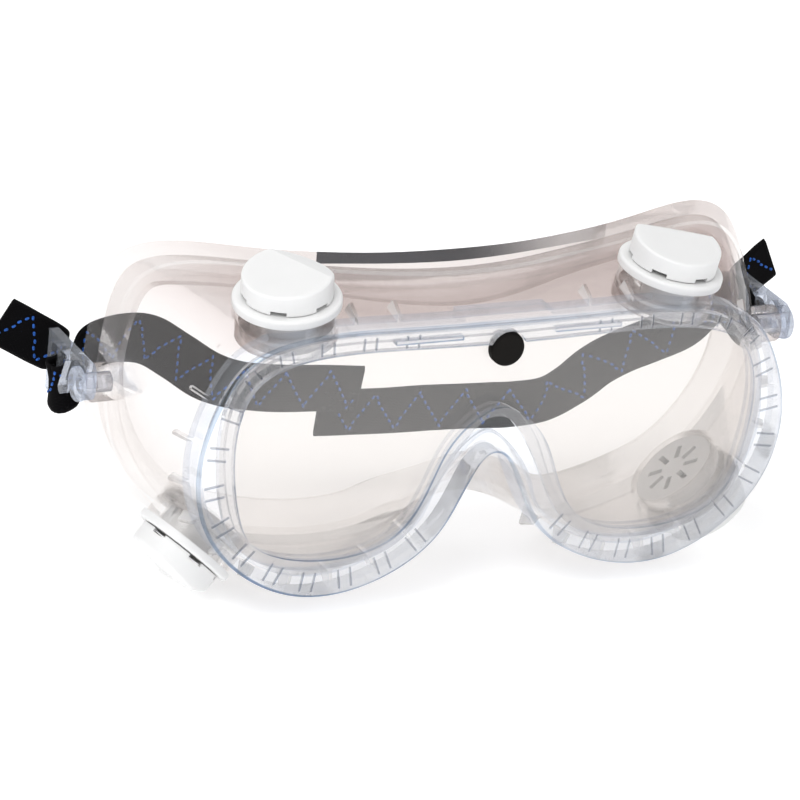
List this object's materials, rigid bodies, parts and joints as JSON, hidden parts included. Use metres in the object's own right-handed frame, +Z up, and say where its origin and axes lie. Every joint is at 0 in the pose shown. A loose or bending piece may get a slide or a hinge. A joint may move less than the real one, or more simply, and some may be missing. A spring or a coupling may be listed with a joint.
{
  "type": "safety goggles",
  "caption": "Ventilated safety goggles: clear soft frame with a flat lens, hooded round vents that turn, and an elastic headband on pivoting clips.",
  "frame": {"origin": "on the symmetry plane, on the flat front face of the rim at the nose bridge", "axes": "+X across the face to the wearer's left (the right as seen from the front), +Y back towards the wearer, +Z up"},
  "size_m": [0.2124, 0.0642, 0.0877],
  "materials": {
    "clear_vinyl": "clear soft vinyl",
    "clear_lens": "clear, polished",
    "clear_plastic": "clear hard plastic",
    "white_plastic": "fine satin",
    "black_rubber": "matt",
    "elastic_webbing": "woven elastic, black with blue stitches",
    "thread": "sewing thread"
  },
  "bodies": {
    "frame": {"goggle_body": "clear_vinyl", "lens": "clear_lens", "lens_plug": "black_rubber", "vent_seat_top_left": "white_plastic", "vent_seat_top_right": "white_plastic", "vent_seat_bottom_left": "white_plastic", "vent_seat_bottom_right": "white_plastic", "vent_retainer_top_left": "white_plastic", "vent_retainer_top_right": "white_plastic", "vent_retainer_bottom_left": "white_plastic", "vent_retainer_bottom_right": "white_plastic", "clip_pin_left": "clear_plastic", "clip_pin_right": "clear_plastic"},
    "cap_top_left": {"vent_cap_top_left": "white_plastic"},
    "cap_top_right": {"vent_cap_top_right": "white_plastic"},
    "cap_bottom_left": {"vent_cap_bottom_left": "white_plastic"},
    "cap_bottom_right": {"vent_cap_bottom_right": "white_plastic"},
    "band_left": {"strap_clip_left": "clear_plastic", "strap_left": "elastic_webbing", "strap_stitching": "thread"},
    "band_right": {"strap_clip_right": "clear_plastic", "strap_right": "elastic_webbing"}
  },
  "joints": [
    {"name": "vent_cap_top_left_turn", "type": "hinge", "parent": "frame", "child": "cap_top_left", "pos_m": [-0.0522, 0.0178, 0.029], "axis": [-0.1201, -0.1201, 0.9855], "continuous": true},
    {"name": "vent_cap_top_right_turn", "type": "hinge", "parent": "frame", "child": "cap_top_right", "pos_m": [0.0522, 0.0178, 0.029], "axis": [0.1201, -0.1201, 0.9855], "continuous": true},
    {"name": "vent_cap_bottom_left_turn", "type": "hinge", "parent": "frame", "child": "cap_bottom_left", "pos_m": [-0.0702, 0.024, -0.0352], "axis": [-0.6608, -0.1201, -0.7409], "continuous": true},
    {"name": "vent_cap_bottom_right_turn", "type": "hinge", "parent": "frame", "child": "cap_bottom_right", "pos_m": [0.0702, 0.024, -0.0352], "axis": [0.6608, -0.1201, -0.7409], "continuous": true},
    {"name": "clip_left_swing", "type": "hinge", "parent": "frame", "child": "band_left", "pos_m": [-0.0958, 0.035, 0.0045], "axis": [1, 0, 0], "range_deg": [-4, 20]},
    {"name": "clip_right_swing", "type": "hinge", "parent": "frame", "child": "band_right", "pos_m": [0.0958, 0.035, 0.0045], "axis": [1, 0, 0], "range_deg": [-4, 20]}
  ],
  "couplings": [
    {"joint": "clip_right_swing", "follows": "clip_left_swing", "ratio": 1}
  ]
}
